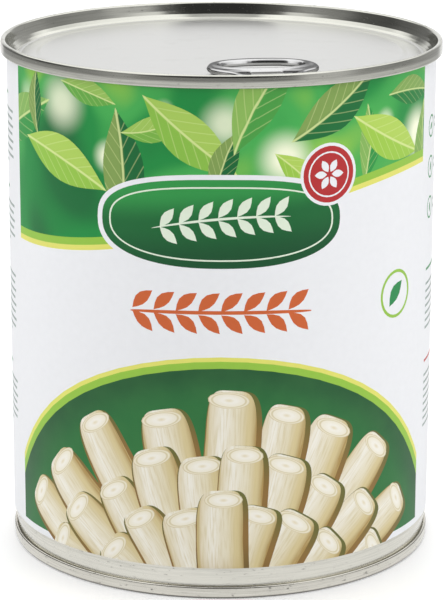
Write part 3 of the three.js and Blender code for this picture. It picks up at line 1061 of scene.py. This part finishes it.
def back_panel():
    """A ruled table on one side of the lap and a block of plain stripes on the other."""
    left, right, high, rows = -148.0, -98.0, 104.0, 10
    low = high - ROW_HEIGHT * rows
    yield area("green", left, right, low, high)
    yield area("paper", left + RULE, right - RULE, low + RULE, high - RULE)
    yield area("green", left, right, high - ROW_HEIGHT, high)
    for i in range(1, rows):
        level = high - ROW_HEIGHT * i
        yield area("green", left, right, level - 0.12, level + 0.12)
        lengths = {2: 17 + 4 * math.sin(2.1 * i)}
        lengths |= {column: 7 + 1.2 * math.sin(3.3 * i + column) for column in (27, 39)}
        for column, length in lengths.items():
            start = left + column
            yield area("small_print", start, start + length, level - 3.1, level - 2.2)
    yield from lines_of_print(left, right, 44, 9)
    start = 112.0
    for i in range(26):
        width = 0.35 + 0.3 * (1 + math.sin(2.7 * i * i))
        yield area("ink_black", start, start + width, 16, 34)
        start += width + 0.5 + 0.25 * (1 + math.sin(1.9 * i))
    yield from lines_of_print(104, 148, 106, 12)
    yield area("lime", 104, 148, 72.5, 78)
    yield area("green", 104, 148, 78, 80)
    yield from lines_of_print(104, 148, 66, 10)


def label_motifs():
    return [*leafy_field(), *plaque(), *seal(), *garland(), *picture(), *small_mark(),
            *side_strips(), *back_panel()]


# -------- the label's sheet


def cut_sheet(motifs):
    """Cuts the label's plan along every outline. Returns its points, its faces, and the
    number of the motif that shows on each face, or -1 for bare paper."""
    left = -math.pi * PLAN_PER_RADIAN
    right = math.radians(180 + LAP) * PLAN_PER_RADIAN
    columns = np.linspace(left, right, round((360 + LAP) / LABEL_STEP) + 1)
    points = [(left, PLAN_LOW), (right, PLAN_LOW), (right, PLAN_HIGH), (left, PLAN_HIGH)]
    faces, ties = [[0, 1, 2, 3]], []
    levels = np.linspace(PLAN_LOW, PLAN_HIGH, LABEL_LEVELS + 1)
    lines = [((column, PLAN_LOW), (column, PLAN_HIGH)) for column in columns[1:-1]]
    lines += [((left, level), (right, level)) for level in levels[1:-1]]
    for line in lines:
        ties.append((len(points), len(points) + 1))
        points += line
    for motif in motifs:
        faces.append(list(range(len(points), len(points) + len(motif.outline))))
        points += [tuple(p) for p in motif.outline]
    made = delaunay_2d_cdt([Vector(p) for p in points], ties, faces, 0, CUT_PRECISION)
    numbers = {id(motif): number for number, motif in enumerate(motifs)}
    kept, shown = [], []
    for face, covering in zip(made[2], made[5]):
        if 0 not in covering:
            continue
        over = {number - 1 for number in covering}
        seen = [n for n in over if n >= 0 and (
            motifs[n].within is None or numbers[id(motifs[n].within)] in over)]
        kept.append(face)
        shown.append(max(seen, default=-1))
    return np.array([tuple(p) for p in made[0]]), kept, shown


def rim_of(faces):
    """The directed edges that only one face has."""
    sides = {(a, b) for face in faces for a, b in zip(face, face[1:] + face[:1])}
    return [(a, b) for a, b in sides if (b, a) not in sides]


def lining(flat, rim):
    """A coarse set of faces over the plan that shares the rim's points."""
    corners = sorted({corner for edge in rim for corner in edge})
    place = {corner: n for n, corner in enumerate(corners)}
    high = {round(flat[c][0], 3): c for c in corners if flat[c][1] > PLAN_HIGH - RIM_BAND}
    ties = [(place[a], place[b]) for a, b in rim]
    for corner in corners:
        top = high.get(round(flat[corner][0], 3))
        if flat[corner][1] < PLAN_LOW + RIM_BAND and top is not None:
            ties.append((place[corner], place[top]))
    made = delaunay_2d_cdt([Vector(flat[c]) for c in corners], ties, [], 0, 1e-6)
    return [[corners[made[3][c][0]] for c in face] for face in made[2]]


def wrapped(flat, lift):
    """Plan points wound round the tin at a lift over the label's inner face. The strip
    climbs on to its own start at the back."""
    angle = flat[:, 0] / PLAN_PER_RADIAN
    share = smooth_step(math.radians(CLIMB_START), math.pi, angle)
    climb = share * (PAPER + PAPER_CLEARANCE)
    radius = LABEL_RADIUS - PAPER + climb + lift
    return np.column_stack([radius * np.sin(angle), -radius * np.cos(angle), flat[:, 1] * MM])


def paper_label():
    motifs = label_motifs()
    flat, front, shown = cut_sheet(motifs)
    rim = rim_of(front)
    count = len(flat)
    back = [[corner + count for corner in face[::-1]] for face in lining(flat, rim)]
    sides = [[b, a, a + count, b + count] for a, b in rim]
    points = np.vstack([wrapped(flat, PAPER), wrapped(flat, 0.0)])
    used, faces = used_only(front + back + sides)
    label = mesh_object("wrap_label", points[used], faces)
    inks = ["paper", *sorted({motif.ink for motif in motifs} - {"paper"})]
    for ink in inks:
        label.data.materials.append(ink_finish(ink))
    numbers = np.array(shown + [-1] * (len(back) + len(sides)))
    picks = np.array([inks.index(motif.ink) for motif in motifs] + [0])
    label.data.polygons.foreach_set("material_index", picks[numbers])
    mark_faces(label.data, np.vstack([flat, flat])[used], motifs, numbers)
    return label


def mark_faces(mesh, flat, motifs, numbers):
    """Writes where each face's corners lie on the plan and in their motif's own frame."""
    totals = np.array([len(polygon.vertices) for polygon in mesh.polygons])
    number = np.repeat(numbers, totals)
    corners = np.zeros(len(mesh.loops), int)
    mesh.loops.foreach_get("vertex_index", corners)
    spots = flat[corners]
    frames = [(*m.place, *m.size, m.turn, m.bow, m.tint, m.framed) for m in motifs]
    bare = (0, 0, 1, 1, 0, 0, 0, 0)
    x, y, length, width, turn, bow, tint, framed = np.array([*frames, bare])[number].T
    away_x, away_y = spots[:, 0] - x, spots[:, 1] - y
    along = (away_x * np.cos(turn) + away_y * np.sin(turn)) / length
    across = away_y * np.cos(turn) - away_x * np.sin(turn)
    across = (across - bow * (1 - along**2)) / width
    local = np.column_stack([along, across, tint])
    local[framed == 0] = (FAR_MOTIF, FAR_MOTIF, 0)
    plan = np.column_stack([spots / SHADER_UNIT, np.zeros(len(spots))])
    for name, values in (("plan", plan), ("motif", local)):
        layer = mesh.attributes.new(name, "FLOAT_VECTOR", "CORNER")
        layer.data.foreach_set("vector", values.astype(np.float32).ravel())


# -------- inks

FLAT_INKS = {
    "paper": (238, 239, 242),
    "pale": (226, 238, 218),
    "lime": (150, 198, 66),
    "yellow": (228, 226, 110),
    "green": (34, 140, 76),
    "red": (184, 42, 44),
    "orange": (207, 98, 46),
    "small_print": (150, 163, 158),
    "ink_black": (52, 54, 56),
}


def field_tone(at):
    """Soft greens that run from deep to yellow, with round lights."""
    moved = add("VectorMath", {0: at.plan, 1: (0.3, 1.7, 0)}, 0)
    greens = ramp(noise(moved, 3.2, 1.5), [
        (0.3, (9, 108, 52)), (0.45, (18, 140, 62)), (0.56, (66, 172, 80)),
        (0.66, (146, 200, 74)), (0.78, (222, 226, 96))])
    glow = ramp(hypotenuse(at.along, at.across), [(0.1, 1.0), (1.0, 0.0)])
    return mix(times(glow, at.tint), greens, (246, 250, 220))


def leaf_tone(at):
    """A leaf with a lighter half, a pale midrib and side veins."""
    body = ramp(at.tint, [(0.0, (10, 104, 50)), (0.45, (40, 150, 66)), (1.0, (158, 202, 70))])
    half = ramp(at.across, [(0.42, 0.0), (0.58, 1.0)], -1, 1)
    body = mix(times(half, 0.32), body, (214, 228, 120))
    side = maths("ABSOLUTE", at.across)
    veins = maths("SINE", times(times_plus(side, -0.55, at.along), 24.0))
    vein = ramp(veins, [(0.93, 0.0), (1.0, 0.3)], -1, 1)
    rib = ramp(side, [(0.03, 0.75), (0.075, 0.0)])
    return mix(maths("MAXIMUM", vein, rib), body, (222, 234, 160))


def plaque_tone(at):
    rise = times_plus(at.along, -0.25, at.across)
    return ramp(rise, [(0.0, (8, 82, 42)), (0.55, (16, 104, 50)), (1.0, (44, 150, 70))], -1, 1)


def ground_tone(at):
    """A green that deepens away from the heart of the fan, with a faint sheen."""
    tone = ramp(hypotenuse(at.along, at.across), [
        (0.3, (66, 146, 62)), (0.86, (26, 106, 52)), (1.0, (15, 78, 42))])
    return mix(times(noise(at.plan, 14.0), 0.25), tone, (86, 158, 80))


def stick_tone(at):
    """A round peeled stick lit from the upper left, with faint streaks along it."""
    tone = ramp(times_plus(at.tint, 0.16, at.across), [
        (0.04, (172, 140, 78)), (0.2, (214, 198, 150)), (0.45, (230, 222, 198)),
        (0.72, (240, 236, 224)), (0.93, (226, 216, 190)), (1.0, (196, 176, 122))], -1.0, 1.1)
    place = {0: times(at.along, 1.2), 1: times(at.across, 7.0), 2: at.tint}
    streaks = ramp(noise(add("CombineXYZ", place, 0), 2.2), [(0.4, 0.0), (0.75, 0.55)])
    tone = mix(streaks, tone, (206, 190, 140))
    return mix(ramp(at.along, [(0.0, 0.75), (0.42, 0.0)], -1, 1), tone, (178, 150, 92))


def cut_tone(at):
    """A cut end, palest in the middle with a thin ring under its skin."""
    return ramp(hypotenuse(at.along, at.across), [
        (0.0, (230, 220, 192)), (0.3, (243, 239, 228)), (0.72, (238, 232, 214)),
        (0.8, (214, 202, 164)), (0.9, (236, 229, 208)), (1.0, (206, 190, 146))])


def shade_tone(at):
    return ramp(at.along, [(0.0, (96, 84, 40)), (0.6, (142, 108, 54)), (1.0, (104, 104, 48))],
                -1, 1)


DRAWN_INKS = dict(field=field_tone, leaf=leaf_tone, plaque=plaque_tone, ground=ground_tone,
                  stick=stick_tone, cut=cut_tone, shade=shade_tone)


def ink_finish(ink):
    """Smooth coated paper that carries one ink. A flat ink has a faint mottle."""
    material, tree, shader = new_finish("print_" + ink, Roughness=0.42, Specular_IOR_Level=0.35)
    plan = source(tree, "Attribute", "Vector", attribute_name="plan")
    if ink in FLAT_INKS:
        colour = FLAT_INKS[ink]
        tone = mix(noise(plan, 60.0, 4.0), colour, darker(colour, 0.975))
    else:
        axes = axes_of(source(tree, "Attribute", "Vector", attribute_name="motif"))
        at = SimpleNamespace(plan=plan, along=axes["X"], across=axes["Y"], tint=axes["Z"])
        tone = DRAWN_INKS[ink](at)
    fibre = noise(plan, 220.0)
    plug(shader, Base_Color=tone, Roughness=times_plus(fibre, 0.1, 0.38),
         Normal=bump(fibre, 0.006 * MM, 0.6))
    return material


# -------- the root pieces


def root_finish():
    """Peeled salsify: cream flesh with fine fibres along it and a few pale brown specks."""
    material, tree, shader = new_finish(
        "salsify", Roughness=0.42, Subsurface_Weight=0.18, Subsurface_Scale=0.002)
    place = source(tree, "TexCoord", "Object")
    fibre = grain(place, (900, 900, 60), 3.0)
    tone = ramp(noise(place, 70.0, 2.0), [(0.3, (226, 216, 188)), (0.7, (240, 234, 216))])
    tone = mix(ramp(fibre, [(0.5, 0.0), (0.8, 0.5)]), tone, (204, 188, 144))
    specks = ramp(noise(place, 420.0, 1.0), [(0.7, 0.0), (0.76, 0.6)])
    plug(shader, Base_Color=mix(specks, tone, (168, 132, 84)),
         Roughness=times_plus(fibre, 0.16, 0.34), Normal=bump(fibre, 0.08 * MM))
    return material


def root_piece(node, number):
    """One stick inside its CAD node's box: knife facets, a slight taper and bow, and cut
    ends with eased rims."""
    low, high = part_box(node)
    middle = (low + high) / 2
    radius = (high.x - low.x) / 2
    length = high.z - low.z
    angles = np.linspace(0, 2 * math.pi, STICK_SIDES, endpoint=False)
    rings = [[(middle.x, middle.y, low.z)]]
    for share in 0.5 - 0.5 * np.cos(np.pi * np.arange(1, STICK_ROWS) / STICK_ROWS):
        ease = 1 - 0.16 * abs(2 * share - 1) ** 14
        facets = 0.965 - 0.02 * np.abs(np.sin(3.5 * angles + number + share))
        swell = 0.0096 * np.sin(5.3 * share + 2.1 * number + 2 * angles)
        taper = 0.02 * (share - 0.5) * (-1) ** number
        reach = radius * ease * (facets + swell - abs(taper) + taper)
        bow = 0.012 * radius * math.sin(math.pi * share + number)
        slant = 0.02 * length * (2 * share - 1) ** 5 * np.cos(angles + number)
        height = low.z + length * (0.02 + 0.96 * share) + slant
        rings.append([*zip(middle.x + bow + reach * np.cos(angles),
                           middle.y + reach * np.sin(angles), height)])
    rings.append([(middle.x, middle.y, high.z - 0.012 * length)])
    return lofted(f"salsify_stick_{number:02d}", rings, 48)


# -------- closing lines

add_camera()
add_studio()

body_steel = steel_finish("body_tinplate", (225, 223, 213), 0.22, weld=True)
base_steel = steel_finish("base_tinplate", (223, 220, 210), 0.22, contact_shadowed=True)
lid_steel = steel_finish("lid_tinplate", (210, 210, 201), 0.13, lacquered=True)
tab_steel = steel_finish("tab_tinplate", (206, 206, 206), 0.1, edge=0.25)

dress(lid_shell(), "tin", lid_steel, "easy_open_lid")
dress(base_shell(), "tin", base_steel, "base_end")
dress(body_shell(), "tin", body_steel, "can_body")
dress(pull_tab(), "tab", tab_steel, "pull_tab")
dress(rivet_tongue(), "tin", tab_steel, "rivet_tongue")
dress(rivet(), "tin", lid_steel)

label = paper_label()
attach(label, "tin")
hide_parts("paper_label")

rubber = compound_finish()
for node in ("lid_seam_compound", "base_seam_compound"):
    for slot in frame["nodes"][node].material_slots:
        slot.material = rubber

salsify = root_finish()
root_nodes = sorted(name for name in frame["nodes"] if name.startswith("salsify_piece_"))
for number, node in enumerate(root_nodes, start=1):
    dress(root_piece(node, number), "tin", salsify, node)
